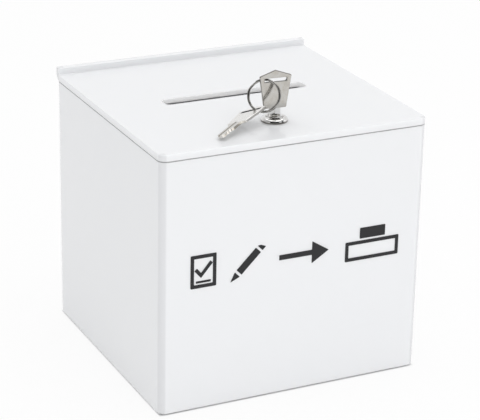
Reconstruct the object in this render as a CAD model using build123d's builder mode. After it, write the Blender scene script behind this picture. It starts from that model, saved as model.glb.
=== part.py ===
# Lockable ballot box of white acrylic sheet, with a cam lock and two keys on a split ring.
# Millimetres, +Z up, X along the front, origin under the middle of the whole footprint.

from build123d import *
import os
from math import cos, radians, sin

os.makedirs("parts", exist_ok=True)

# Driving dimensions of the sheet box
body_width = 200.0
body_depth = 190.0
wall_height = 182.5
sheet = 5.0
bend_inner_radius = 1.0
edge_radius = 0.5
edge_bevel = 0.4
glue_gap = 0.1
lid_gap = 0.1
overrun = 1.0

# Feet, stick-on pads under the base
foot_diameter = 10.0
foot_height = 1.2
foot_inset = 16.0
foot_bevel = 0.4

# Lid: paper slot, lock hole and the bent-up back edge
slot_length = 110.0
slot_width = 11.6
slot_from_front = 98.7
slot_corner_radius = 3.5
slot_relief = 1.8
lip_height = 5.0
lock_from_front = 35.5
lock_offset_x = -0.4

# Hinge along the back
hinge_length = 172.0
hinge_knuckles = 9
knuckle_diameter = 5.0
hinge_pin_diameter = 2.0
hinge_leaf = 1.5
lower_leaf_height = 14.0
lip_margin = 0.6
knuckle_gap = 0.3
running_clearance = 0.05

# Cam lock
rim_diameter = 18.7
rim_height = 3.0
rim_side_height = 0.9
rim_mouth_diameter = 12.6
rim_mouth_depth = 0.9
rim_dome_drop = 0.35
barrel_diameter = 16.0
barrel_flats = 13.4
keyway_floor_thickness = 3.95
hole_clearance = 0.15
plug_face_diameter = 11.6
plug_face_thickness = 1.1
plug_face_sink = 0.9
plug_diameter = 10.0
plug_proud = 0.1
plug_face_chamfer = 0.35
lock_washer_diameter = 21.0
lock_washer_thickness = 1.0
lock_nut_flats = 20.0
lock_nut_thickness = 4.0
nut_chamfer = 0.5
seat_gap = 0.05

# Wafers and the keyway that they cross
keyway_width = 8.2
keyway_thickness = 2.3
wafer_count = 5
wafer_thickness = 1.0
wafer_width = 4.6
wafer_length = 9.7
wafer_clearance = 0.1
wafer_groove_depth = 1.2

# Cam, its stop washer and screw
square_size = 6.0
square_clearance = 0.05
stop_washer_thickness = 1.2
stop_washer_radius = 6.0
stop_tab_angle = 40.0
stop_slack_angle = 0.5
stop_clearance = 0.15
cam_thickness = 2.0
cam_head_radius = 8.5
cam_tip_radius = 5.0
cam_wall_clearance = 2.0
cam_washer_diameter = 10.0
cam_washer_thickness = 0.8
screw_diameter = 4.0
screw_engagement = 4.0
screw_head_flats = 7.0
screw_head_height = 2.8
screw_head_chamfer = 0.2

# Catch block that the cam turns under
catch_length = 44.0
catch_depth = 8.0
catch_height = 8.0
catch_clearance = 0.4
catch_lead = 1.5

# Keys
key_thickness = 1.8
bow_top_width = 22.8
bow_bottom_width = 16.0
bow_side_height = 22.7
bow_peak_rise = 4.0
bow_corner_radius = 0.7
bow_edge_bevel = 0.25
ring_slot_length = 16.4
ring_slot_height = 2.8
ring_slot_above_shoulder = 20.0
blade_length = 22.0
blade_width = 7.6
blade_tip_width = 3.2
blade_tip_length = 2.6
blade_groove_width = 1.8
blade_groove_depth = 0.5
blade_groove_offset = 0.9
bitting_pitch = 1.8
bitting_root = 0.9
bitting_depth = 2.2
bitting_depth_shares = (0.55, 1.0, 0.35, 0.8, 0.6)
first_cut_from_shoulder = 11.6
shoulder_above_lid = 9.0
key_turn = -5.5
key_seat_clearance = 0.15

# Split ring, flat wire of nearly two turns with a step across
ring_radius = 11.0
ring_wire_radial = 1.4
ring_wire_axial = 0.75
ring_strand_gap = 0.45
ring_step_half_angle = 15.0
ring_end_margin_angle = 6.0
ring_start_angle = 150.0
ring_centre_x = -9.36
ring_centre_y = -2.19
ring_centre_z = 19.28
ring_plane_angle = -45.2
ring_lean_angle = 26.5

# Spare key, where it lies against the lid
spare_key_x = -33.5
spare_key_y = -10.87
spare_key_z = 5.55
spare_key_heading = 35.1
spare_key_rise = 7.7
spare_key_roll = 23.0

# Places worked out from the sizes above
corner_radius = bend_inner_radius + sheet
knuckle_radius = knuckle_diameter / 2
front_y = -(body_depth + glue_gap + knuckle_diameter) / 2
back_y = front_y + body_depth
mid_y = (front_y + back_y) / 2
wall_top = foot_height + wall_height
lid_bottom = wall_top + lid_gap
lid_top = lid_bottom + sheet
lip_top = lid_top + lip_height
hinge_y = back_y + glue_gap + knuckle_radius
hinge_z = wall_top + lid_gap / 2
lock_x = lock_offset_x
lock_y = front_y + lock_from_front
barrel_radius = barrel_diameter / 2
plug_radius = plug_diameter / 2
shoulder_z = lid_top + shoulder_above_lid
keyway_floor = shoulder_z - blade_length - key_seat_clearance
barrel_end = keyway_floor - keyway_floor_thickness + plug_proud
plug_end = barrel_end - plug_proud
cam_top = plug_end - stop_washer_thickness
cam_bottom = cam_top - cam_thickness
cam_reach = lock_from_front - sheet - cam_wall_clearance
first_wafer_z = shoulder_z - first_cut_from_shoulder + wafer_thickness / 2
wafer_tops = [first_wafer_z - number * bitting_pitch for number in range(wafer_count)]
body_plane = Plane(origin=(0, mid_y, foot_height))


def save(part, name):
    """Label one finished piece and write it out."""
    part.label = name
    export_step(part, f"parts/{name}.step")


def lock_plane(height, turn=0.0):
    """A level plane on the lock's axis, turned about it."""
    heading = (cos(radians(turn)), sin(radians(turn)), 0)
    return Plane(origin=(lock_x, lock_y, height), x_dir=heading, z_dir=(0, 0, 1))


# Walls, one sheet bent round four corners and butted at the back
butt_groove = 0.4
inner_width = body_width - 2 * sheet
inner_depth = body_depth - 2 * sheet
with BuildPart() as wall_wrap:
    with BuildSketch(body_plane):
        RectangleRounded(body_width, body_depth, corner_radius)
        RectangleRounded(inner_width, inner_depth, bend_inner_radius, mode=Mode.SUBTRACT)
    extrude(amount=wall_height)
    rims = wall_wrap.faces().filter_by(Axis.Z)
    chamfer(rims.edges(), edge_bevel)
    with BuildSketch(body_plane):
        with Locations((0, body_depth / 2)):
            Rectangle(butt_groove, 2 * butt_groove, rotation=45)
    extrude(amount=wall_height, mode=Mode.SUBTRACT)
save(wall_wrap.part, "wall_wrap")

# Base panel, let in between the walls
with BuildPart() as base_panel:
    with BuildSketch(body_plane):
        RectangleRounded(inner_width - 2 * glue_gap, inner_depth - 2 * glue_gap, bend_inner_radius)
    extrude(amount=sheet)
    chamfer(base_panel.faces().sort_by(Axis.Z)[0].edges(), edge_bevel)
save(base_panel.part, "base_panel")

# Feet at the four corners of the base
foot_x = body_width / 2 - foot_inset
foot_y = body_depth / 2 - foot_inset
foot_places = {
    "foot_front_left": (-foot_x, -foot_y),
    "foot_front_right": (foot_x, -foot_y),
    "foot_back_left": (-foot_x, foot_y),
    "foot_back_right": (foot_x, foot_y),
}
for foot_name, (place_x, place_y) in foot_places.items():
    with BuildPart() as foot:
        with BuildSketch(Plane(origin=(0, mid_y, 0))):
            with Locations((place_x, place_y)):
                Circle(foot_diameter / 2)
        extrude(amount=foot_height)
        chamfer(foot.faces().sort_by(Axis.Z)[0].edges(), foot_bevel)
    save(foot.part, foot_name)

# Catch block behind the front wall, with a lead-in under its inner edge
catch_bottom = cam_top + catch_clearance
catch_front = front_y + sheet + glue_gap
with BuildPart() as catch_block:
    with BuildSketch(Plane(origin=(lock_x, catch_front, catch_bottom))):
        with Locations((0, catch_depth / 2)):
            Rectangle(catch_length, catch_depth)
    extrude(amount=catch_height)
    lead_edge = catch_block.edges().filter_by(Axis.X).group_by(Axis.Z)[0].sort_by(Axis.Y)[-1]
    chamfer(lead_edge, catch_lead)
    fillet(catch_block.edges().filter_by(Axis.X).sort_by(Axis.Z)[-1], edge_radius)
save(catch_block.part, "catch_block")

# Lid, one sheet with its back edge bent up
with BuildPart() as lid:
    with BuildSketch(Plane(origin=(-body_width / 2, back_y, lid_bottom), x_dir=(0, 1, 0), z_dir=(1, 0, 0))):
        with BuildLine():
            bottom = Line((-body_depth, 0), (-corner_radius, 0))
            outer_bend = RadiusArc(bottom @ 1, (0, corner_radius), -corner_radius)
            back = Line(outer_bend @ 1, (0, sheet + lip_height))
            top = Line(back @ 1, (-sheet, sheet + lip_height))
            front = Line(top @ 1, (-sheet, corner_radius))
            inner_bend = RadiusArc(front @ 1, (-corner_radius, sheet), bend_inner_radius)
            upper = Line(inner_bend @ 1, (-body_depth, sheet))
            Line(upper @ 1, bottom @ 0)
        make_face()
    extrude(amount=body_width)
    front_corners = lid.edges().filter_by(Axis.Z).group_by(Axis.Y)[0]
    fillet(front_corners, corner_radius)
    upper_edges = lid.faces().filter_by(Axis.Z).sort_by(Axis.Z)[1].edges().group_by(Axis.Y)[:-1]
    lower_edges = lid.faces().sort_by(Axis.Z)[0].edges().group_by(Axis.Y)[:-1]
    chamfer([edge for group in upper_edges for edge in group], edge_bevel)
    chamfer([edge for group in lower_edges for edge in group], edge_bevel)
    fillet(lid.faces().sort_by(Axis.Z)[-1].edges(), edge_radius)
    with BuildSketch(Plane(origin=(0, front_y + slot_from_front, lid_bottom))):
        RectangleRounded(slot_length, slot_width, slot_corner_radius)
    extrude(amount=sheet, mode=Mode.SUBTRACT)
    slot_outline = lid.faces().sort_by(Axis.Z)[0].inner_wires()[0]
    chamfer(slot_outline.edges(), slot_relief)
    with BuildSketch(lock_plane(lid_bottom)):
        Circle(barrel_radius + hole_clearance)
        Rectangle(barrel_flats + 2 * hole_clearance, barrel_diameter + overrun, mode=Mode.INTERSECT)
    extrude(amount=sheet, mode=Mode.SUBTRACT)
save(lid.part, "lid")

# Hinge leaves with interleaved knuckles, and the pin through them
knuckle_pitch = hinge_length / hinge_knuckles
upper_leaf_height = lip_top - lip_margin - hinge_z
leaf_relief = knuckle_radius + knuckle_gap


def hinge_leaf_part(direction, leaf_height, first_knuckle):
    """One leaf: a strip on the back face and every second knuckle."""
    with BuildPart() as leaf:
        strip_bottom = min(direction * leaf_relief, direction * leaf_height)
        strip_height = leaf_height - leaf_relief
        with BuildSketch(Plane(origin=(0, back_y + glue_gap, hinge_z + strip_bottom))):
            with Locations((0, hinge_leaf / 2)):
                Rectangle(hinge_length, hinge_leaf)
        extrude(amount=strip_height)
        for number in range(first_knuckle, hinge_knuckles, 2):
            start_x = -hinge_length / 2 + number * knuckle_pitch + knuckle_gap / 2
            side = Plane(origin=(start_x, hinge_y, hinge_z), x_dir=(0, 1, 0), z_dir=(1, 0, 0))
            with BuildSketch(side):
                Circle(knuckle_radius)
                with Locations((hinge_leaf / 2 - knuckle_radius, direction * leaf_relief / 2)):
                    Rectangle(hinge_leaf, leaf_relief)
                Circle(hinge_pin_diameter / 2 + running_clearance, mode=Mode.SUBTRACT)
            extrude(amount=knuckle_pitch - knuckle_gap)
    return leaf.part


save(hinge_leaf_part(-1, lower_leaf_height, 0), "hinge_leaf_lower")
save(hinge_leaf_part(1, upper_leaf_height, 1), "hinge_leaf_upper")

pin_length = hinge_length - 2 * knuckle_gap
with BuildPart() as hinge_pin:
    with BuildSketch(Plane(origin=(-pin_length / 2, hinge_y, hinge_z), z_dir=(1, 0, 0))):
        Circle(hinge_pin_diameter / 2)
    extrude(amount=pin_length)
save(hinge_pin.part, "hinge_pin")

# Lock housing: rim and barrel turned in one, with flats, wafer grooves and the stop skirt
rim_radius = rim_diameter / 2
mouth_radius = rim_mouth_diameter / 2
face_recess_radius = plug_face_diameter / 2 + running_clearance
face_floor = plug_face_sink - seat_gap
bore_radius = plug_radius + running_clearance
dome_x = (rim_radius + mouth_radius) / 2
dome_z = rim_height - rim_dome_drop
stop_ring_inner = stop_washer_radius + stop_clearance
locked_turn = -90.0 - key_turn
open_turn = -key_turn
tab_at_rest = key_turn + 180.0
skirt_start = tab_at_rest + open_turn + stop_tab_angle / 2 + stop_slack_angle
skirt_sweep = 360.0 - (open_turn - locked_turn) - stop_tab_angle - 2 * stop_slack_angle
with BuildPart() as lock_housing:
    with BuildSketch(lock_plane(barrel_end)):
        Circle(barrel_radius)
        Rectangle(barrel_flats, barrel_diameter + overrun, mode=Mode.INTERSECT)
        Circle(bore_radius, mode=Mode.SUBTRACT)
    extrude(amount=lid_top - barrel_end + seat_gap)
    with BuildSketch(Plane(origin=(lock_x, lock_y, lid_top), x_dir=(1, 0, 0), z_dir=(0, -1, 0))):
        with BuildLine():
            under_rim = Line((bore_radius, seat_gap), (rim_radius, seat_gap))
            rim_side = Line(under_rim @ 1, (rim_radius, rim_side_height))
            dome = ThreePointArc(rim_side @ 1, (dome_x, dome_z), (mouth_radius, rim_height))
            mouth = Line(dome @ 1, (face_recess_radius, rim_height - rim_mouth_depth))
            recess = Line(mouth @ 1, (face_recess_radius, face_floor))
            floor = Line(recess @ 1, (bore_radius, face_floor))
            Line(floor @ 1, under_rim @ 0)
        make_face()
    revolve(axis=Axis((lock_x, lock_y, 0), (0, 0, 1)))
    with BuildSketch(lock_plane(barrel_end - stop_washer_thickness)):
        Circle(barrel_radius)
        Rectangle(barrel_flats, barrel_diameter + overrun, mode=Mode.INTERSECT)
        Circle(stop_ring_inner, mode=Mode.SUBTRACT)
        with BuildLine():
            reach = 2 * barrel_radius
            PolarLine((0, 0), reach, skirt_start)
            rim_arc = CenterArc((0, 0), reach, skirt_start, skirt_sweep)
            Line(rim_arc @ 1, (0, 0))
        make_face(mode=Mode.INTERSECT)
    extrude(amount=stop_washer_thickness)
    groove_radius = plug_radius + wafer_groove_depth
    with BuildSketch(lock_plane(barrel_end)):
        Rectangle(wafer_width + 2 * wafer_clearance, 2 * groove_radius)
    extrude(amount=first_wafer_z - barrel_end + wafer_thickness, mode=Mode.SUBTRACT)
save(lock_housing.part, "lock_housing")

# Washer and nut that hold the housing under the lid
with BuildPart() as lock_washer:
    with BuildSketch(lock_plane(lid_bottom - seat_gap - lock_washer_thickness)):
        Circle(lock_washer_diameter / 2)
        Circle(barrel_radius + hole_clearance, mode=Mode.SUBTRACT)
    extrude(amount=lock_washer_thickness)
save(lock_washer.part, "lock_washer")

nut_top = lid_bottom - 2 * seat_gap - lock_washer_thickness
with BuildPart() as lock_nut:
    with BuildSketch(lock_plane(nut_top - lock_nut_thickness)):
        RegularPolygon(lock_nut_flats / 2, 6, major_radius=False)
    extrude(amount=lock_nut_thickness)
    with BuildSketch(lock_plane(nut_top - lock_nut_thickness)):
        Circle(lock_nut_flats / 2 + nut_chamfer)
    extrude(amount=lock_nut_thickness, mode=Mode.INTERSECT)
    with BuildSketch(lock_plane(nut_top - lock_nut_thickness)):
        Circle(barrel_radius + running_clearance)
    extrude(amount=lock_nut_thickness, mode=Mode.SUBTRACT)
save(lock_nut.part, "lock_nut")

# Plug: face, body with keyway and wafer slots, and the square that turns the cam
face_top = lid_top + plug_face_sink + plug_face_thickness
square_length = stop_washer_thickness + cam_thickness - 2 * seat_gap
keyway_chamfer = 0.4
with BuildPart() as lock_plug:
    with BuildSketch(lock_plane(plug_end, key_turn)):
        Circle(plug_radius)
    extrude(amount=lid_top + plug_face_sink - plug_end)
    with BuildSketch(lock_plane(lid_top + plug_face_sink, key_turn)):
        Circle(plug_face_diameter / 2)
    extrude(amount=plug_face_thickness)
    chamfer(lock_plug.faces().sort_by(Axis.Z)[-1].edges(), plug_face_chamfer)
    with BuildSketch(lock_plane(plug_end - square_length, key_turn)):
        RectangleRounded(square_size, square_size, edge_radius)
    extrude(amount=square_length)
    with BuildSketch(lock_plane(keyway_floor, key_turn)):
        Rectangle(keyway_width, keyway_thickness)
    extrude(amount=face_top - keyway_floor, mode=Mode.SUBTRACT)
    for top_z in wafer_tops:
        with BuildSketch(lock_plane(top_z - wafer_thickness - wafer_clearance, key_turn)):
            Rectangle(plug_diameter + overrun, wafer_width + 2 * wafer_clearance)
        extrude(amount=wafer_thickness + 2 * wafer_clearance, mode=Mode.SUBTRACT)
    with BuildSketch(lock_plane(plug_end - square_length, key_turn)):
        Circle(screw_diameter / 2)
    extrude(amount=square_length + screw_engagement, mode=Mode.SUBTRACT)
    mouth_edges = lock_plug.faces().sort_by(Axis.Z)[-1].inner_wires()[0].edges()
    chamfer(mouth_edges, keyway_chamfer)
save(lock_plug.part, "lock_plug")

# Wafers, round-ended plates with a window for the blade
for number, top_z in enumerate(wafer_tops, start=1):
    with BuildPart() as wafer:
        with BuildSketch(lock_plane(top_z - wafer_thickness, key_turn)):
            Circle(wafer_length / 2)
            Rectangle(wafer_length, wafer_width, mode=Mode.INTERSECT)
            Rectangle(keyway_width, keyway_thickness, mode=Mode.SUBTRACT)
        extrude(amount=wafer_thickness)
    save(wafer.part, f"wafer_{number}")

# Stop washer, with the tab that runs in the gap of the skirt
hole_size = square_size + 2 * square_clearance
with BuildPart() as stop_washer:
    with BuildSketch(lock_plane(cam_top + seat_gap, tab_at_rest)):
        Circle(barrel_radius)
        with BuildLine():
            tab_reach = 2 * barrel_radius
            PolarLine((0, 0), tab_reach, -stop_tab_angle / 2)
            tab_arc = CenterArc((0, 0), tab_reach, -stop_tab_angle / 2, stop_tab_angle)
            Line(tab_arc @ 1, (0, 0))
        make_face(mode=Mode.INTERSECT)
        Circle(stop_washer_radius)
        Rectangle(hole_size, hole_size, mode=Mode.SUBTRACT)
    extrude(amount=stop_washer_thickness - 2 * seat_gap)
save(stop_washer.part, "stop_washer")

# Cam, a tapered plate on the plug's square
with BuildPart() as cam:
    with BuildSketch(lock_plane(cam_bottom, key_turn)):
        Circle(cam_head_radius)
        with Locations((cam_reach - cam_tip_radius, 0)):
            Circle(cam_tip_radius)
        make_hull()
        Rectangle(hole_size, hole_size, mode=Mode.SUBTRACT)
    extrude(amount=cam_thickness - seat_gap)
save(cam.part, "cam")

# Washer and hex screw that hold the cam
cam_washer_top = cam_bottom - seat_gap
with BuildPart() as cam_washer:
    with BuildSketch(lock_plane(cam_washer_top - cam_washer_thickness, key_turn)):
        Circle(cam_washer_diameter / 2)
        Circle(screw_diameter / 2 + hole_clearance, mode=Mode.SUBTRACT)
    extrude(amount=cam_washer_thickness)
save(cam_washer.part, "cam_washer")

head_top = cam_washer_top - cam_washer_thickness - seat_gap
with BuildPart() as cam_screw:
    with BuildSketch(lock_plane(head_top - screw_head_height, key_turn)):
        RegularPolygon(screw_head_flats / 2, 6, major_radius=False)
    extrude(amount=screw_head_height)
    with BuildSketch(lock_plane(head_top - screw_head_height, key_turn)):
        Circle(screw_head_flats / 2 + screw_head_chamfer)
    extrude(amount=screw_head_height, mode=Mode.INTERSECT)
    shank_top = plug_end + screw_engagement - key_seat_clearance - square_length
    with BuildSketch(lock_plane(head_top, key_turn)):
        Circle(screw_diameter / 2 - running_clearance)
    extrude(amount=shank_top - head_top)
save(cam_screw.part, "cam_screw")

# Key: a tapered bow with a peaked top and a ring slot, and a cut and grooved blade
half_top = bow_top_width / 2
half_bottom = bow_bottom_width / 2
half_blade = blade_width / 2
half_tip = blade_tip_width / 2


def key_part(place):
    """The key drawn on a plane: the blade points down its Y, the shoulder is at its origin."""
    middle = place.offset(-key_thickness / 2)
    groove_top = place.offset(key_thickness / 2)
    through = Axis(place.origin, place.z_dir)
    with BuildPart() as key:
        with BuildSketch(middle) as bow:
            with BuildLine():
                Polyline(
                    (half_bottom, 0),
                    (half_top, bow_side_height),
                    (0, bow_side_height + bow_peak_rise),
                    (-half_top, bow_side_height),
                    (-half_bottom, 0),
                    close=True,
                )
            make_face()
            fillet(bow.vertices(), bow_corner_radius)
            with Locations((0, ring_slot_above_shoulder)):
                SlotOverall(ring_slot_length, ring_slot_height, mode=Mode.SUBTRACT)
        extrude(amount=key_thickness)
        flats = key.faces().filter_by(through)
        chamfer([edge for face in flats for edge in face.outer_wire().edges()], bow_edge_bevel)
        with BuildSketch(middle):
            with BuildLine():
                Polyline(
                    (half_blade, bow_corner_radius),
                    (-half_blade, bow_corner_radius),
                    (-half_blade, blade_tip_length - blade_length),
                    (-half_tip, -blade_length),
                    (half_tip, -blade_length),
                    (half_blade, blade_tip_length - blade_length),
                    close=True,
                )
            make_face()
            for number, share in enumerate(bitting_depth_shares):
                cut_y = -first_cut_from_shoulder - number * bitting_pitch
                depth = share * bitting_depth
                with BuildLine():
                    Polyline(
                        (half_blade, cut_y + bitting_root / 2 + depth),
                        (half_blade - depth, cut_y + bitting_root / 2),
                        (half_blade - depth, cut_y - bitting_root / 2),
                        (half_blade, cut_y - bitting_root / 2 - depth),
                        close=True,
                    )
                make_face(mode=Mode.SUBTRACT)
        extrude(amount=key_thickness)
        with BuildSketch(groove_top):
            with Locations((-blade_groove_offset, -blade_length / 2 + bow_corner_radius)):
                Rectangle(blade_groove_width, blade_length + 2 * bow_corner_radius)
        extrude(amount=-blade_groove_depth, mode=Mode.SUBTRACT)
    return key.part


key_heading = Vector(cos(radians(key_turn)), sin(radians(key_turn)), 0)
upright = Vector(0, 0, 1)
key_facing = key_heading.cross(upright)
lock_key_plane = Plane(origin=(lock_x, lock_y, shoulder_z), x_dir=key_heading, z_dir=key_facing)
save(key_part(lock_key_plane), "lock_key")

heading = radians(spare_key_heading)
rise = radians(spare_key_rise)
roll = radians(spare_key_roll)
spare_axis = Vector(cos(heading) * cos(rise), sin(heading) * cos(rise), sin(rise))
level_side = spare_axis.cross(upright).normalized()
raised_side = level_side.cross(spare_axis)
spare_side = level_side * cos(roll) + raised_side * sin(roll)
spare_origin = Vector(lock_x + spare_key_x, lock_y + spare_key_y, lid_top + spare_key_z)
spare_key_plane = Plane(origin=spare_origin, x_dir=spare_side, z_dir=spare_side.cross(spare_axis))
save(key_part(spare_key_plane), "spare_key")

# Split ring through both bows
ring_turn = radians(ring_plane_angle)
ring_lean = radians(ring_lean_angle)
ring_across = Vector(cos(ring_turn), sin(ring_turn), 0)
ring_outward = Vector(-sin(ring_turn), cos(ring_turn), 0)
ring_up = upright * cos(ring_lean) + ring_outward * sin(ring_lean)
ring_axis = ring_across.cross(ring_up)
ring_centre = Vector(lock_x + ring_centre_x, lock_y + ring_centre_y, lid_top + ring_centre_z)
ring_pitch = ring_wire_axial + ring_strand_gap


def ring_radial(angle):
    """The direction out from the ring's centre at one angle."""
    return ring_across * cos(radians(angle)) + ring_up * sin(radians(angle))


def ring_along(angle):
    """The direction round the ring at one angle."""
    return ring_up * cos(radians(angle)) - ring_across * sin(radians(angle))


def ring_point(angle, height):
    """A point on the wire's middle line, with the height along the ring's axis."""
    return ring_centre + ring_radial(angle) * ring_radius + ring_axis * height


step_start = ring_start_angle + 360.0 - ring_step_half_angle
step_end = ring_start_angle + 360.0 + ring_step_half_angle
wire_start = ring_start_angle + ring_step_half_angle + ring_end_margin_angle
wire_end = ring_start_angle + 720.0 - ring_step_half_angle - ring_end_margin_angle


def strand(first, last, height):
    """One flat strand as two arcs of at most half a turn."""
    quarter = (last - first) / 4
    points = [ring_point(first + number * quarter, height) for number in range(5)]
    ThreePointArc(points[0], points[1], points[2])
    ThreePointArc(points[2], points[3], points[4])


with BuildPart() as split_ring:
    with BuildLine() as wire:
        strand(wire_start, step_start, -ring_pitch / 2)
        half_step = TangentArc(
            ring_point(step_start, -ring_pitch / 2),
            ring_point(ring_start_angle, 0),
            tangent=ring_along(step_start),
        )
        TangentArc(half_step @ 1, ring_point(step_end, ring_pitch / 2), tangent=half_step % 1)
        strand(step_end, wire_end, ring_pitch / 2)
    start = wire.wire() @ 0
    start_radial = ring_radial(wire_start)
    with BuildSketch(Plane(origin=start, x_dir=start_radial, z_dir=ring_along(wire_start))):
        Rectangle(ring_wire_radial, ring_wire_axial)
    sweep(path=wire.wire())
save(split_ring.part, "split_ring")

# Least gap of the ring's wire to itself, measured on points of its two strands
sample_count = 400
same_strand_length = 6.0
wire_length = wire.wire().length
line_points = [wire.wire() @ (step / sample_count) for step in range(sample_count + 1)]
skipped = int(sample_count * same_strand_length / wire_length) + 1
least = min(
    (line_points[low] - line_points[high]).length
    for low in range(sample_count)
    for high in range(low + skipped, sample_count + 1)
)
print("split ring: wire", round(wire_length, 1), "mm")
print("split ring: least gap between strands", round(least - ring_wire_axial, 3), "mm")
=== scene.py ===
from math import cos, pi, radians, sin

import bpy
from mathutils import Matrix, Vector


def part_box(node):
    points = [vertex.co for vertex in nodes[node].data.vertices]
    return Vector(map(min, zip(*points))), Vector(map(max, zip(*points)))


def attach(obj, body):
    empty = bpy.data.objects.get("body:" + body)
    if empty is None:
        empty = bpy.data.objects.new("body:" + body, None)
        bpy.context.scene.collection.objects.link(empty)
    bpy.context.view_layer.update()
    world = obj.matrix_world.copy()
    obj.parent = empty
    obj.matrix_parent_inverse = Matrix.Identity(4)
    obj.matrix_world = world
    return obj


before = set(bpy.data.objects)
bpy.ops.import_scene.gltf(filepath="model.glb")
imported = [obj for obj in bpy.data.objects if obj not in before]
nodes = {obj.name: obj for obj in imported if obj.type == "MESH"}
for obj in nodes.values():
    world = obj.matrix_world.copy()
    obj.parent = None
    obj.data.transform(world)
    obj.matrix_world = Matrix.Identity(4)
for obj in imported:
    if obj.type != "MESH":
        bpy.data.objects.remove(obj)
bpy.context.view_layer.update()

# A ballot box of white acrylic sheet: finishes for the CAD nodes, and the small pieces
# that are only looks, such as the thread, the cement beads and the printed sign.
mm = 0.001
scene = bpy.context.scene
scene.view_settings.view_transform = "Standard"

# Places that come from the CAD model
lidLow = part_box("lid")[0]
wallLow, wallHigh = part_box("wall_wrap")
baseLow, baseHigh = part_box("base_panel")
catchLow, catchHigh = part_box("catch_block")
housingLow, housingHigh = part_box("lock_housing")
lowerLeafLow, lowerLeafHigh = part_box("hinge_leaf_lower")
upperLeafLow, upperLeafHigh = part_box("hinge_leaf_upper")
lockX = (housingLow.x + housingHigh.x) / 2
lockY = (housingLow.y + housingHigh.y) / 2
wallMiddleY = (wallLow.y + wallHigh.y) / 2
wallHalfDepth = (wallHigh.y - wallLow.y) / 2
sheet = 5 * mm
lidTop = lidLow.z + sheet
lockPlace = Vector((lockX, lockY, lidTop))


# Shader helpers
class Signal:  # a number or colour that varies over a surface
    def __init__(self, finish, socket):
        self.finish = finish
        self.socket = socket

    def maths(self, operation, *values):
        return self.finish.node("ShaderNodeMath", {"operation": operation}, values)

    def __add__(self, other):
        return self.maths("ADD", self, other)

    def __sub__(self, other):
        return self.maths("SUBTRACT", self, other)

    def __rsub__(self, other):
        return self.maths("SUBTRACT", other, self)

    def __mul__(self, other):
        return self.maths("MULTIPLY", self, other)

    def __abs__(self):
        return self.maths("ABSOLUTE", self)

    def sine(self):
        return self.maths("SINE", self)

    def greater(self, other):
        return self.maths("MAXIMUM", self, other)

    __radd__ = __add__
    __rmul__ = __mul__


class Finish:  # one material, with its nodes
    def __init__(self, name, nodeTree=None):
        if nodeTree is None:
            self.material = bpy.data.materials.new(name)
            self.material.use_nodes = True
            nodeTree = self.material.node_tree
        self.tree = nodeTree
        self.surface = nodeTree.nodes.get("Principled BSDF")

    def node(self, kind, settings=None, values=None, output=0):
        made = self.tree.nodes.new(kind)
        for key, value in (settings or {}).items():
            setattr(made, key, value)
        self.put(made, values)
        return Signal(self, made.outputs[output])

    def put(self, made, values):
        pairs = values.items() if isinstance(values, dict) else enumerate(values or ())
        for key, value in pairs:
            if isinstance(value, Signal):
                self.tree.links.new(value.socket, made.inputs[key])
            elif value is not None:
                made.inputs[key].default_value = value

    def place(self):
        return self.node("ShaderNodeTexCoord", output="Object")

    def facing(self):
        return self.node("ShaderNodeTexCoord", output="Normal")

    def ray(self, kind):  # 1 for rays of this kind
        return self.node("ShaderNodeLightPath", output=f"Is {kind} Ray")

    def axis(self, place, letter):
        return self.node("ShaderNodeSeparateXYZ", None, [place], output="XYZ".index(letter))

    def stretched(self, place, scale, turn=0):
        return self.node("ShaderNodeMapping", None,
                         {"Vector": place, "Scale": scale, "Rotation": (0, 0, turn)})

    def noise(self, place, scale, detail=3.0, roughness=0.5):
        return self.node("ShaderNodeTexNoise", None,
                         {"Vector": place, "Scale": scale, "Detail": detail, "Roughness": roughness})

    def fromMiddle(self, place):  # distances from the box's two middle planes
        return abs(self.axis(place, "X")), abs(self.axis(place, "Y") - wallMiddleY)

    def vectorMaths(self, operation, first, second, output=0):
        return self.node("ShaderNodeVectorMath", {"operation": operation}, [first, second], output)

    def smooth(self, value, low, high):
        return self.node("ShaderNodeMapRange", {"interpolation_type": "SMOOTHSTEP"},
                         {"Value": value, "From Min": low, "From Max": high})

    def within(self, value, full, gone):  # 1 up to full, and 0 from gone on
        return 1 - self.smooth(value, full, gone)

    def mix(self, share, first, second):
        colours = {0: share, 6: first, 7: second}  # an RGBA Mix has its colours at 6, 7 and output 2
        return self.node("ShaderNodeMix", {"data_type": "RGBA"}, colours, output=2)

    def bump(self, height, distance, strength=1.0, under=None):
        return self.node("ShaderNodeBump", None,
                         {"Height": height, "Distance": distance, "Strength": strength, "Normal": under})


def colour(red, green, blue):
    return (red, green, blue, 1.0)


# Acrylic sheet
acrylicLook = {
    "white": colour(0.865, 0.872, 0.885),
    "cooler": colour(0.850, 0.860, 0.878),
    "cloudScale": 9,
    "roughness": 0.13,
    "fineScale": 900,
    "fineRoughness": 0.03,
    "ior": 1.49,
    "bumpStrength": 0.5,
    "waviness": 0.05 * mm,
    "glow": 0.5,
    "glowDepth": 3 * mm,
    "glowSpread": (1.0, 1.0, 1.0),
    "grime": colour(0.70, 0.70, 0.69),
    "acrossStretch": (18, 420, 60),
    "acrossTurn": 0.35,
    "acrossLines": (0.66, 0.72),
    "alongStretch": (380, 14, 50),
    "alongTurn": -0.2,
    "alongLines": (0.68, 0.74),
    "worn": (0.42, 0.7),
    "scratchShare": 0.05,
    "scratchRoughness": 0.12,
    "scratchDepth": 0.012 * mm,
    # painted shade: the bends of the walls are painted darker
    "bendShade": colour(0.72, 0.725, 0.74),
    "bendStart": 5.2 * mm,
    "bendFull": 3.4 * mm,
    "bendShadeShare": 0.7,
    "upright": (0.8, 0.95),
    # painted shade: a dark line along the seam under the lid
    "seamShade": colour(0.34, 0.34, 0.35),
    "seamShadeShare": 0.8,
    "seamHalfWidth": (0.25 * mm, 0.5 * mm),
}
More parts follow.
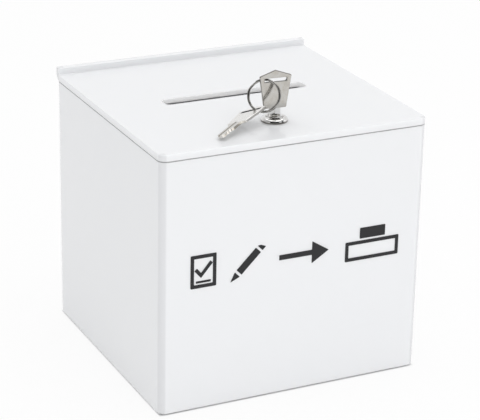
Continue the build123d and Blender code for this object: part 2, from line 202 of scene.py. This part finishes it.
lidLook = {
    **acrylicLook,
    "glow": 0.4,
    # painted light: the slot's cut edge is painted whiter and glows faintly
    "cutEdgePaintedLight": colour(0.985, 0.985, 0.99),
    "edgeLight": colour(0.16, 0.16, 0.16),
}
slotLook = {
    "fromFront": 98.7 * mm,
    "cutHalfWidth": (5.9 * mm, 6.2 * mm),
    "cutHalfLength": (55.2 * mm, 55.6 * mm),
    "wearAcross": (3 * mm, 16 * mm),
    "wearAlong": (50 * mm, 60 * mm),
    "wearRoundLock": (9 * mm, 34 * mm),
    "slotWear": 1.3,
    "lockWear": 1.2,
}


def acrylicFinish(name, look, slot=None):
    made = Finish(name)
    place = made.place()
    cloud = made.noise(place, look["cloudScale"], detail=2)
    fine = made.noise(place, look["fineScale"], detail=2)
    across = made.noise(made.stretched(place, look["acrossStretch"], look["acrossTurn"]), 1)
    along = made.noise(made.stretched(place, look["alongStretch"], look["alongTurn"]), 1)
    hairlines = made.smooth(across, *look["acrossLines"]) + made.smooth(along, *look["alongLines"])
    wear = made.smooth(cloud, *look["worn"])
    if slot:
        gapX = abs(made.axis(place, "X"))
        gapY = abs(made.axis(place, "Y") - (wallLow.y + slot["fromFront"]))
        nearSlot = made.within(gapY, *slot["wearAcross"]) * made.within(gapX, *slot["wearAlong"])
        lockGap = made.vectorMaths("DISTANCE", place, tuple(lockPlace), output=1)
        nearLock = made.within(lockGap, *slot["wearRoundLock"])
        wear = wear + nearSlot * slot["slotWear"] + nearLock * slot["lockWear"]
    scratches = hairlines * wear
    base = made.mix(cloud, look["white"], look["cooler"])
    base = made.mix(scratches * look["scratchShare"], base, look["grime"])
    # Painted shade: the bends of the walls are painted darker, and a painted dark line of shade runs along
    # the seam under the lid
    besideX, besideY = made.fromMiddle(place)
    bend = made.smooth(besideX, wallHigh.x - look["bendStart"], wallHigh.x - look["bendFull"])
    bend = bend * made.smooth(besideY, wallHalfDepth - look["bendStart"], wallHalfDepth - look["bendFull"])
    base = made.mix(bend * look["bendShadeShare"], base, look["bendShade"])
    upright = made.within(abs(made.axis(made.facing(), "Z")), *look["upright"])
    # Painted shade along the seam under the lid, on upright faces only
    seam = made.within(abs(made.axis(place, "Z") - lidLow.z), *look["seamHalfWidth"])
    base = made.mix(seam * upright * look["seamShadeShare"], base, look["seamShade"])
    if slot:
        # Painted light: the slot's cut edge is painted whiter and given a weak glow, which stand in for the
        # light the sheet carries to its cut edge
        cut = made.within(gapY, *slot["cutHalfWidth"]) * made.within(gapX, *slot["cutHalfLength"]) * upright
        base = made.mix(cut, base, look["cutEdgePaintedLight"])
        paintedGlow = made.mix(cut, colour(0, 0, 0), look["edgeLight"])
        made.put(made.surface, {"Emission Color": paintedGlow, "Emission Strength": 1.0})
    wavy = made.bump(cloud, look["waviness"], look["bumpStrength"])
    made.put(made.surface, {
        "Base Color": base,
        "Roughness": fine * look["fineRoughness"] + scratches * look["scratchRoughness"] + look["roughness"],
        "IOR": look["ior"],
        "Subsurface Weight": look["glow"],
        "Subsurface Radius": look["glowSpread"],
        "Subsurface Scale": look["glowDepth"],
        "Normal": made.bump(scratches * -1, look["scratchDepth"], look["bumpStrength"], wavy),
    })
    return made.material


# Metals
metalLooks = {
    "lockPlating": {
        "tone": colour(0.90, 0.90, 0.90),
        "stain": colour(0.72, 0.71, 0.69),
        "roughness": 0.05,
        "turned": 0.1,
        # painted shade: a dark band on the rim's side, where it meets the lid
        "dustAndShade": colour(0.26, 0.245, 0.225),
        "shadeRise": (0.72 * mm, 1.2 * mm),
    },
    "plugMetal": {
        "tone": colour(0.72, 0.72, 0.73),
        "stain": colour(0.50, 0.49, 0.47),
        "roughness": 0.14,
        "turned": 1.0,
    },
    "camSteel": {
        "tone": colour(0.60, 0.61, 0.63),
        "stain": colour(0.42, 0.40, 0.36),
        "roughness": 0.30,
        "turned": 0.0,
    },
    "waferBrass": {
        "tone": colour(0.68, 0.50, 0.22),
        "stain": colour(0.45, 0.30, 0.14),
        "roughness": 0.28,
        "turned": 0.0,
    },
    "hingeWire": {
        "tone": colour(0.60, 0.60, 0.59),
        "stain": colour(0.42, 0.41, 0.40),
        "roughness": 0.24,
        "turned": 0.0,
    },
    "ringWire": {
        "tone": colour(0.42, 0.41, 0.39),
        "stain": colour(0.07, 0.068, 0.062),
        "roughness": 0.16,
        "turned": 0.0,
        "ringFromLock": (-9.3625 * mm, -2.19 * mm, 19.28 * mm),
        "ringRadius": 11 * mm,
        "halfWire": 0.7 * mm,
    },
}
metalTexture = {
    "cloudScale": 160,
    "cloudRoughness": 0.10,
    "stained": (0.40, 0.68),
    "stainShare": 0.8,
    "grainStretch": (900, 900, 5200),
    "grainHeight": 0.6,
    "grainRoughness": 0.06,
    "speckScale": 1400,
    "specks": (0.70, 0.76),
    "speckShare": 0.4,
    "speckRoughness": 0.2,
    "turnedMarks": 16000,  # radians a metre
    "turnedWobble": 3,
    "turnedHeight": 0.5,
    "turnedSmooths": 0.4,
    "meanRoughness": 0.06,
    "markDepth": 0.003 * mm,
    "markStrength": 0.5,
}


def metalFinish(name, look, texture=metalTexture):
    made = Finish(name)
    place = made.place()
    cloud = made.noise(place, texture["cloudScale"], detail=4, roughness=0.6)
    grain = made.noise(made.stretched(place, texture["grainStretch"]), 1, detail=2)
    specks = made.smooth(made.noise(place, texture["speckScale"], detail=2), *texture["specks"])
    level = made.vectorMaths("MULTIPLY", place, (1, 1, 0))
    radius = made.vectorMaths("DISTANCE", level, (lockX, lockY, 0), output=1)
    turning = (radius * texture["turnedMarks"] + cloud * texture["turnedWobble"]).sine()
    grainHeight = texture["grainHeight"] - texture["turnedSmooths"] * look["turned"]
    height = turning * look["turned"] * texture["turnedHeight"] + grain * grainHeight - specks
    stain = made.smooth(cloud, *texture["stained"]) * texture["stainShare"] + specks * texture["speckShare"]
    base = made.mix(stain, look["tone"], look["stain"])
    # Painted shade: the plating is painted dark in a thin band just above the lid
    if "dustAndShade" in look:
        rise = made.axis(place, "Z") - lidTop
        base = made.mix(made.within(abs(rise), *look["shadeRise"]), base, look["dustAndShade"])
    rounding = None
    if "ringFromLock" in look:  # the flat wire's face is shaded as if round
        ringPlace = lockPlace + Vector(look["ringFromLock"])
        reach = made.vectorMaths("DISTANCE", place, tuple(ringPlace), output=1)
        offCentre = (reach - look["ringRadius"]) * (1 / look["halfWire"])
        rounding = made.bump(1 - offCentre * offCentre, look["halfWire"] * 0.5, 1.0)
    roughness = cloud * texture["cloudRoughness"] + grain * texture["grainRoughness"]
    roughness = roughness + specks * texture["speckRoughness"]
    made.put(made.surface, {
        "Base Color": base,
        "Metallic": 1.0,
        "Roughness": roughness + (look["roughness"] - texture["meanRoughness"]),
        "Normal": made.bump(height, texture["markDepth"], texture["markStrength"], rounding),
    })
    return made.material


# Keys: nickel over brass, with the brass showing on the cut edge
keyLook = {
    "nickel": colour(0.55, 0.537, 0.51),
    "warm": colour(0.48, 0.457, 0.42),
    "cloudScale": 190,
    "warmed": (0.35, 0.75),
    "milled": colour(0.86, 0.855, 0.84),
    "bladeFrom": (-0.5 * mm, 0.4 * mm),
    "edgeDepth": (0.72 * mm, 0.882 * mm),
    "brass": colour(0.58, 0.54, 0.47),
    "brassOnCuts": 0.6,
    "brassOnEdge": 0.15,
    "cutsAcross": (1.33 * mm, 3.42 * mm),
    "cutsFrom": (-2.6 * mm, -2.0 * mm),
    # painted shade: the bow's edge is painted dark
    "rim": colour(0.15, 0.14, 0.125),
    "rimShare": 0.75,
    "ringSlotAt": 20 * mm,
    "ringSlotHalfHeight": (1.45 * mm, 1.6 * mm),
    "ringSlotHalfLength": (8.25 * mm, 8.5 * mm),
    # painted shade: the ring slot in the bow is painted near black
    "grime": colour(0.03, 0.03, 0.028),
    "slotGrime": 0.5,
    "roughness": 0.13,
    "cloudRoughness": 0.12,
    "brushRoughness": 0.10,
    "edgeRoughness": 0.08,
    "meanRoughness": 0.10,
    "bladeSmoother": 0.10,
    "brushStretch": (260, 2600, 400),
    "brushTurn": 0.25,
    "pitScale": 1500,
    "pits": (0.68, 0.76),
    "satinHeight": 0.6,
    "satinDepth": 0.006 * mm,
    "satinStrength": 0.6,
}


def keyFinish(name, look, origin, side, facing):
    # origin is the middle of the shoulder, side runs towards the cut edge, facing is the bow's normal
    made = Finish(name)
    place = made.place()
    local = made.vectorMaths("SUBTRACT", place, tuple(origin))
    directions = (side, Vector(facing).cross(Vector(side)), facing)
    acrossKey, alongKey, throughKey = [
        made.vectorMaths("DOT_PRODUCT", local, tuple(direction), output=1) for direction in directions
    ]
    flat = made.node("ShaderNodeCombineXYZ", None, [acrossKey, alongKey, throughKey])
    brushed = made.noise(made.stretched(flat, look["brushStretch"], look["brushTurn"]), 1)
    cloud = made.noise(flat, look["cloudScale"], roughness=0.6)
    pits = made.smooth(made.noise(flat, look["pitScale"], detail=2), *look["pits"])
    onEdge = made.within(abs(throughKey), *look["edgeDepth"])
    isCut = made.smooth(acrossKey, *look["cutsAcross"]) * made.within(alongKey, *look["cutsFrom"])
    blade = made.within(alongKey, *look["bladeFrom"])
    inSlot = made.within(abs(alongKey - look["ringSlotAt"]), *look["ringSlotHalfHeight"])
    inSlot = inSlot * made.within(abs(acrossKey), *look["ringSlotHalfLength"])
    base = made.mix(made.smooth(cloud, *look["warmed"]), look["nickel"], look["warm"])
    base = made.mix(blade, base, look["milled"])
    base = made.mix(onEdge * (isCut * look["brassOnCuts"] + look["brassOnEdge"]), base, look["brass"])
    # Painted shade: the bow's edge, off the blade, is painted dark
    base = made.mix(onEdge * (1 - blade) * look["rimShare"], base, look["rim"])
    # Painted shade inside the ring slot of the bow
    base = made.mix(inSlot * look["slotGrime"], base, look["grime"])
    roughness = cloud * look["cloudRoughness"] + brushed * look["brushRoughness"]
    roughness = roughness + onEdge * look["edgeRoughness"] + (look["roughness"] - look["meanRoughness"])
    satin = brushed * look["satinHeight"] + cloud * look["satinHeight"] - pits
    made.put(made.surface, {
        "Base Color": base,
        "Metallic": 1.0,
        "Roughness": roughness - blade * look["bladeSmoother"],
        "Normal": made.bump(satin, look["satinDepth"], look["satinStrength"]),
    })
    return made.material


# Rubber pads, cement and the sign's film
padLook = {
    "rubber": colour(0.022, 0.022, 0.023),
    "dustAndShade": colour(0.10, 0.10, 0.095),
    "dustScale": 300,
    "dusty": (0.55, 0.75),
    "dustShare": 0.35,
    "roughness": 0.62,
    "grainScale": 1800,
    "grainRoughness": 0.2,
    "grainDepth": 0.03 * mm,
    "grainStrength": 0.6,
}
cementLook = {
    "clear": colour(0.80, 0.81, 0.82),
    "bubble": colour(0.93, 0.93, 0.93),
    "bubbleScale": 1300,
    "bubbles": (0.66, 0.72),
    "bubbleShare": 0.6,
    "bubbleHeight": 0.3,
    "roughness": 0.05,
    "ior": 1.47,
    "rippleScale": 350,
    "rippleRoughness": 0.08,
    "rippleDepth": 0.12 * mm,
    "rippleStrength": 0.6,
}
filmLook = {
    "dark": colour(0.016, 0.016, 0.018),
    "paler": colour(0.024, 0.024, 0.026),
    "cloudScale": 60,
    "cloudRoughness": 0.06,
    "roughness": 0.34,
    "specular": 0.32,
    "grainScale": 2200,
    "grainRoughness": 0.12,
    "grainDepth": 0.01 * mm,
    "grainStrength": 0.4,
}


def padFinish(look):
    made = Finish("padRubber")
    place = made.place()
    grain = made.noise(place, look["grainScale"], roughness=0.6)
    dustAndShade = made.smooth(made.noise(place, look["dustScale"]), *look["dusty"])
    made.put(made.surface, {
        "Base Color": made.mix(dustAndShade * look["dustShare"], look["rubber"], look["dustAndShade"]),
        "Roughness": grain * look["grainRoughness"] + look["roughness"],
        "Normal": made.bump(grain, look["grainDepth"], look["grainStrength"]),
    })
    return made.material


def cementFinish(look):
    made = Finish("clearCement")
    place = made.place()
    ripple = made.noise(place, look["rippleScale"], detail=2)
    bubbles = made.smooth(made.noise(place, look["bubbleScale"], detail=1), *look["bubbles"])
    height = ripple - bubbles * look["bubbleHeight"]
    made.put(made.surface, {
        "Base Color": made.mix(bubbles * look["bubbleShare"], look["clear"], look["bubble"]),
        "Roughness": ripple * look["rippleRoughness"] + look["roughness"],
        "IOR": look["ior"],
        "Normal": made.bump(height, look["rippleDepth"], look["rippleStrength"]),
    })
    return made.material


def filmFinish(look):
    made = Finish("signFilm")
    place = made.place()
    grain = made.noise(place, look["grainScale"], detail=2)
    cloud = made.noise(place, look["cloudScale"])
    roughness = grain * look["grainRoughness"] + cloud * look["cloudRoughness"] + look["roughness"]
    made.put(made.surface, {
        "Base Color": made.mix(cloud, look["dark"], look["paler"]),
        "Roughness": roughness,
        "Specular IOR Level": look["specular"],
        "Normal": made.bump(grain, look["grainDepth"], look["grainStrength"]),
    })
    return made.material


def dress(material, *names):
    for name in names:
        slots = nodes[name].data.materials
        slots.clear()
        slots.append(material)


acrylic = acrylicFinish("whiteAcrylic", acrylicLook)
dress(acrylic, "wall_wrap", "base_panel", "catch_block", "hinge_leaf_lower", "hinge_leaf_upper")
dress(acrylicFinish("lidAcrylic", lidLook, slotLook), "lid")
metals = {name: metalFinish(name, look) for name, look in metalLooks.items()}
dress(metals["lockPlating"], "lock_housing", "lock_washer", "lock_nut")
dress(metals["plugMetal"], "lock_plug")
dress(metals["camSteel"], "stop_washer", "cam", "cam_washer", "cam_screw")
dress(metals["waferBrass"], *[name for name in nodes if name.startswith("wafer_")])
dress(metals["hingeWire"], "hinge_pin")
dress(metals["ringWire"], "split_ring")
dress(padFinish(padLook), *[name for name in nodes if name.startswith("foot_")])

# How the keys lie, with the shoulders seen from the lock and the angles in degrees
lockKeyPlace = {"shoulder": (0, 0, 9 * mm), "turn": -5.5}
spareKeyPlace = {
    "shoulder": (-33.5 * mm, -10.87 * mm, 5.55 * mm),
    "heading": 35.1,
    "rise": 7.7,
    "roll": 23.0,
}
keyTurn = radians(lockKeyPlace["turn"])
lockKey = {
    "origin": lockPlace + Vector(lockKeyPlace["shoulder"]),
    "side": (cos(keyTurn), sin(keyTurn), 0),
    "facing": (sin(keyTurn), -cos(keyTurn), 0),
}
heading, rise, roll = [radians(spareKeyPlace[name]) for name in ("heading", "rise", "roll")]
spareAxis = Vector((cos(heading) * cos(rise), sin(heading) * cos(rise), sin(rise)))
spareLevel = spareAxis.cross(Vector((0, 0, 1))).normalized()
spareSide = spareLevel * cos(roll) + spareLevel.cross(spareAxis) * sin(roll)
spareKey = {
    "origin": lockPlace + Vector(spareKeyPlace["shoulder"]),
    "side": spareSide,
    "facing": spareSide.cross(spareAxis),
}
dress(keyFinish("lockKeyNickel", keyLook, **lockKey), "lock_key")
# Painted light: the spare key has the lock key's nickel painted much lighter, as a lit copy, with a darker
# blade and brass, no painted shade on the bow's edge and full painted shade in its ring slot
litKeyLook = {
    **keyLook,
    "nickel": colour(0.97, 0.96, 0.94),
    "warm": colour(0.93, 0.915, 0.885),
    "milled": colour(0.70, 0.685, 0.65),
    "brass": colour(0.40, 0.37, 0.32),
    "rimShare": 0.0,
    "roughness": 0.24,
    "slotGrime": 1.0,
}
dress(keyFinish("spareKeyLitNickel", litKeyLook, **spareKey), "spare_key")
print("finishes are on the CAD nodes")


# Modelling helpers
def clearChoice():
    if bpy.context.object and bpy.context.object.mode != "OBJECT":
        bpy.ops.object.mode_set(mode="OBJECT")
    bpy.ops.object.select_all(action="DESELECT")


def addObject(name, data):
    piece = bpy.data.objects.new(name, data)
    scene.collection.objects.link(piece)
    return piece


def polyCurve(name, dimensions, outlines, closed=True):
    line = bpy.data.curves.new(name, "CURVE")
    line.dimensions = dimensions
    for outline in outlines:
        run = line.splines.new("POLY")
        run.points.add(len(outline) - 1)
        for point, place in zip(run.points, outline):
            point.co = (*place, 1)
        run.use_cyclic_u = closed
    return line


def finishPiece(piece, name, material, body):
    piece.name = name
    piece.data.name = name
    piece.data.materials.clear()
    piece.data.materials.append(material)
    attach(piece, body)


def toMesh(piece):
    clearChoice()
    piece.select_set(True)
    bpy.context.view_layer.objects.active = piece
    bpy.ops.object.convert(target="MESH")
    piece = bpy.context.object
    bpy.ops.object.transform_apply(location=True, rotation=True, scale=True)
    return piece


# Cement beads along the bonded joints
beadLook = {
    "steps": 3,
    "fat": 0.55 * mm,
    "thin": 0.32 * mm,
    "lift": 0.3 * mm,
    "insideLift": 0.1 * mm,
    "sunk": 0.2 * mm,
    "endGap": 0.5 * mm,
}


def cementBead(name, points, radius, body, closed=False):
    line = polyCurve(name, "3D", [points], closed)
    line.bevel_depth = radius
    line.bevel_resolution = beadLook["steps"]
    line.use_fill_caps = True
    finishPiece(toMesh(addObject(name, line)), name, cement, body)


def acrossLine(low, high, height):
    return [(low.x, low.y, height), (high.x, low.y, height)]


def frameLine(low, high, height):
    return acrossLine(low, high, height) + [(high.x, high.y, height), (low.x, high.y, height)]


cement = cementFinish(cementLook)
underBase = frameLine(baseLow, baseHigh, baseLow.z + beadLook["lift"])
insideBase = frameLine(baseLow, baseHigh, baseHigh.z + beadLook["insideLift"])
overCatch = acrossLine(catchLow, catchHigh, catchHigh.z)
underCatch = acrossLine(catchLow, catchHigh, catchLow.z)
underHinge = acrossLine(lowerLeafLow, lowerLeafHigh, lowerLeafLow.z)
overHinge = acrossLine(upperLeafLow, upperLeafHigh, upperLeafHigh.z)
jointY = wallHigh.y - beadLook["sunk"]
backJoint = [(0, jointY, wallLow.z + beadLook["endGap"]), (0, jointY, wallHigh.z - beadLook["endGap"])]
cementBead("cement_base_under", underBase, beadLook["thin"], "box", closed=True)
cementBead("cement_base_inside", insideBase, beadLook["fat"], "box", closed=True)
cementBead("cement_catch_upper", overCatch, beadLook["fat"], "box")
cementBead("cement_catch_lower", underCatch, beadLook["thin"], "box")
cementBead("cement_back_joint", backJoint, beadLook["thin"], "box")
cementBead("cement_hinge_lower", underHinge, beadLook["thin"], "box")
cementBead("cement_hinge_upper", overHinge, beadLook["thin"], "lid")
print("cement beads done")

# Thread on the lock's barrel, below the nut
threadLook = {
    "root": 7.7 * mm,
    "crest": 8.3 * mm,
    "pitch": 1.0 * mm,
    "halfTooth": 0.42 * mm,
    "flats": 13.4 * mm,
    "fromEnd": 1.2 * mm,
    "steps": 48,
    "turns": 6,
    "weld": 0.001 * mm,
}


def chooseAll():
    bpy.ops.mesh.select_all(action="SELECT")


def barrelThread():
    clearChoice()
    bottom = housingLow.z + threadLook["fromEnd"] + threadLook["halfTooth"]
    tooth = bpy.data.meshes.new("barrel_thread")
    tooth.from_pydata([
        (threadLook["root"], 0, -threadLook["halfTooth"]),
        (threadLook["crest"], 0, 0),
        (threadLook["root"], 0, threadLook["halfTooth"]),
    ], [], [(0, 1, 2)])
    piece = addObject("barrel_thread", tooth)
    piece.select_set(True)
    bpy.context.view_layer.objects.active = piece
    screw = piece.modifiers.new("helix", "SCREW")
    screw.screw_offset = threadLook["pitch"]
    screw.iterations = threadLook["turns"]
    screw.steps = screw.render_steps = threadLook["steps"]
    bpy.ops.object.modifier_apply(modifier="helix")
    bpy.ops.object.mode_set(mode="EDIT")
    chooseAll()
    bpy.ops.mesh.remove_doubles(threshold=threadLook["weld"])
    for side in (1, -1):
        chooseAll()
        bpy.ops.mesh.bisect(plane_co=(side * threadLook["flats"] / 2, 0, 0), plane_no=(side, 0, 0),
                            use_fill=True, clear_outer=True)
    chooseAll()
    bpy.ops.mesh.fill_holes(sides=0)
    chooseAll()
    bpy.ops.mesh.normals_make_consistent(inside=False)
    bpy.ops.transform.translate(value=(lockX, lockY, bottom))
    bpy.ops.object.mode_set(mode="OBJECT")
    finishPiece(piece, "barrel_thread", metals["lockPlating"], "lid")


barrelThread()
print("barrel thread done")

# Printed sign on the front: ticked paper, pencil, arrow, box
signLook = {
    "middleX": 1 * mm,
    "middleZ": 103 * mm,
    "height": 24 * mm,
    "stroke": 2.6 * mm,
    "film": 0.12 * mm,
    "proud": 0.036 * mm,
    "tickShape": [(0, 0.42), (0.34, 0.02), (1, 0.80)],
    "kneeReach": 0.72,
}


def rounded(points, radius, steps=4):
    outline = []
    for number, corner in enumerate(points):
        corner = Vector(corner)
        before = (Vector(points[number - 1]) - corner).normalized()
        after = (Vector(points[(number + 1) % len(points)]) - corner).normalized()
        for step in range(steps + 1):
            share = step / steps
            first = corner + before * radius * (1 - share)
            last = corner + after * radius * share
            outline.append(first.lerp(last, share))
    return outline


def rectangle(low, high, radius=0.8):
    return rounded([low, (high[0], low[1]), high, (low[0], high[1])], radius)


def frameOutlines(low, high, width):
    inner = (low[0] + width, low[1] + width), (high[0] - width, high[1] - width)
    return [rectangle(low, high), rectangle(*inner, radius=0.4)]


def barOutline(start, end, width, radius=0.5):
    start, end = Vector(start), Vector(end)
    half = (end - start).normalized().orthogonal() * width / 2
    return rounded([start + half, start - half, end - half, end + half], radius)


def tickOutline(x, z, size, width, radius=0.35):
    down, knee, up = [Vector((x + size * across, z + size * rise)) for across, rise in signLook["tickShape"]]
    first = (knee - down).normalized().orthogonal() * width / 2
    second = (up - knee).normalized().orthogonal() * width / 2
    inner = knee + Vector((0, 1)) * width * signLook["kneeReach"]
    outer = knee - Vector((0, 1)) * width * signLook["kneeReach"]
    return rounded([down + first, down - first, outer, up - second, up + second, inner], radius)


def signPiece(name, outlines):
    line = polyCurve(name, "2D", [[(x * mm, z * mm, 0) for x, z in outline] for outline in outlines])
    line.fill_mode = "BOTH"
    line.extrude = signLook["film"] / 2
    piece = toMesh(addObject(name, line))
    piece.data.transform(Matrix.Rotation(pi / 2, 4, "X"))
    place = (signLook["middleX"], wallLow.y - signLook["proud"], signLook["middleZ"])
    piece.data.transform(Matrix.Translation(place))
    finishPiece(piece, name, film, "box")


film = filmFinish(filmLook)
# Outlines are in millimetres from the sign's middle, where top is half its height
stroke = signLook["stroke"] / mm
top = signLook["height"] / mm / 2
signPiece("sign_paper", [
    *frameOutlines((-79, -top), (-60, top), stroke),
    tickOutline(-75.2, -3.2, size=11.6, width=2.6),
    barOutline((-75, -7.6), (-64, -7.6), width=1.6),
])
signPiece("sign_pencil", [
    rounded([(-49.5, -top), (-42.5, -top + 3.2), (-46.3, -top + 7.0)], radius=0.5),
    rounded([(-41.2, -top + 4.5), (-27.0, top - 5.3), (-30.8, top - 1.5), (-45.0, -top + 8.3)], radius=0.4),
    rounded([(-25.8, top - 4.1), (-23.2, top - 1.5), (-27.0, top), (-29.6, top - 0.3)], radius=0.4),
])
signPiece("sign_arrow", [
    rounded([(-13, -1.9), (12, -1.9), (12, -8.2), (25, 0), (12, 8.2), (12, 1.9), (-13, 1.9)], radius=0.5),
])
signPiece("sign_box", [
    *frameOutlines((38, -top), (80, 2.6), stroke),
    rounded([(49, 4.0), (69, 4.0), (69, top), (49, top)], radius=0.6),
])
print("sign done")

# Floor, lamps and sky
stageLook = {
    "size": 12,
    "pale": colour(0.88, 0.88, 0.88),
    "paler": colour(0.90, 0.90, 0.90),
    "cloudScale": 3,
    "roughness": 0.6,
    "whiteShare": 0.88,
    "underShare": 0.05,
    "edge": 1.5 * mm,
}


def floorFinish(look):
    made = Finish("paleFloor")
    place = made.place()
    made.put(made.surface, {
        "Base Color": made.mix(made.noise(place, look["cloudScale"], detail=2), look["pale"], look["paler"]),
        "Roughness": look["roughness"],
        "Specular IOR Level": 0.0,
    })
    glow = made.node("ShaderNodeEmission", None, [colour(1, 1, 1), 1.0])
    seen = made.ray("Camera") + made.ray("Glossy") + made.ray("Transmission")
    # Under the box the floor is left unlit, so the low gap reads as a thin dark line
    besideX, besideY = made.fromMiddle(place)
    outside = made.smooth(besideX, wallHigh.x - look["edge"], wallHigh.x)
    outside = outside.greater(made.smooth(besideY, wallHalfDepth - look["edge"], wallHalfDepth))
    white = outside * (look["whiteShare"] - look["underShare"]) + look["underShare"]
    plain = Signal(made, made.surface.outputs[0])
    mixed = made.node("ShaderNodeMixShader", None, [seen * white, plain, glow])
    made.tree.links.new(mixed.socket, made.tree.nodes["Material Output"].inputs["Surface"])
    return made.material


clearChoice()
bpy.ops.mesh.primitive_plane_add(size=stageLook["size"], location=(0, 0, 0))
floor = bpy.context.object
floor.name = "floor"
floor.data.materials.append(floorFinish(stageLook))

lampTarget = Vector((0, 0, 100 * mm))
lampLooks = {
    "keyLamp": {"place": (1.0, -1.4, 1.6), "power": 2.2, "width": 0.9},
    "topLamp": {"place": (0.1, 0.2, 2.2), "power": 13.6, "width": 2.6},
    "sideLamp": {"place": (1.7, -0.5, 1.0), "power": 1.6, "width": 0.9},
    "lowLamp": {"place": (-0.10, -0.85, 0.10), "power": 1.0, "width": 0.5},
}
for name, look in lampLooks.items():
    light = bpy.data.lights.new(name, "AREA")
    light.shape = "SQUARE"
    light.size = look["width"]
    light.energy = look["power"]
    lamp = addObject(name, light)
    lamp.location = look["place"]
    lamp.rotation_euler = (lampTarget - Vector(look["place"])).to_track_quat("-Z", "Y").to_euler()

# Even white sky, with a dark band in front that only the glossy surfaces reflect
skyLook = {
    "strength": 0.80,
    "dark": colour(0.02, 0.02, 0.02),
    "side": (-0.1, 0.35),
    "bandFrom": (0.03, 0.10),
    "bandTo": (0.80, 0.94),
}


def studioSky(look):
    world = bpy.data.worlds.new("studio")
    world.use_nodes = True
    made = Finish("studio", world.node_tree)
    direction = made.node("ShaderNodeTexCoord", output="Generated")
    upward = made.axis(direction, "Z")
    towardsFront = made.smooth(made.axis(direction, "Y") * -1, *look["side"])
    darkBand = made.smooth(upward, *look["bandFrom"]) * made.within(upward, *look["bandTo"]) * towardsFront
    room = made.mix(darkBand * made.ray("Glossy"), colour(1, 1, 1), look["dark"])
    white = 1 / look["strength"]
    made.put(world.node_tree.nodes["Background"], {
        "Color": made.mix(made.ray("Camera"), room, colour(white, white, white)),
        "Strength": look["strength"],
    })
    return world


scene.world = studioSky(skyLook)
print("stage done")

# Camera at the photograph's place
cameraLook = {
    "place": (-0.5625, -1.1620, 0.6139),
    "heading": 26.044,
    "down": 21.69,
    "roll": 1.161,
    "lens": 144.0,
    "sensor": 36,
    "farthest": 50,
}


def photoCamera(look):
    heading, down, roll = [radians(look[key]) for key in ("heading", "down", "roll")]
    forward = Vector((sin(heading) * cos(down), cos(heading) * cos(down), -sin(down)))
    level = Vector((cos(heading), -sin(heading), 0))
    upright = level.cross(forward)
    right = level * cos(roll) + upright * sin(roll)
    upward = upright * cos(roll) - level * sin(roll)
    data = bpy.data.cameras.new("photoCamera")
    data.lens = look["lens"]
    data.sensor_width = look["sensor"]
    data.clip_end = look["farthest"]
    camera = addObject("photoCamera", data)
    turned = Matrix((right, upward, -forward)).transposed().to_4x4()
    camera.matrix_world = Matrix.Translation(look["place"]) @ turned
    return camera


scene.camera = photoCamera(cameraLook)
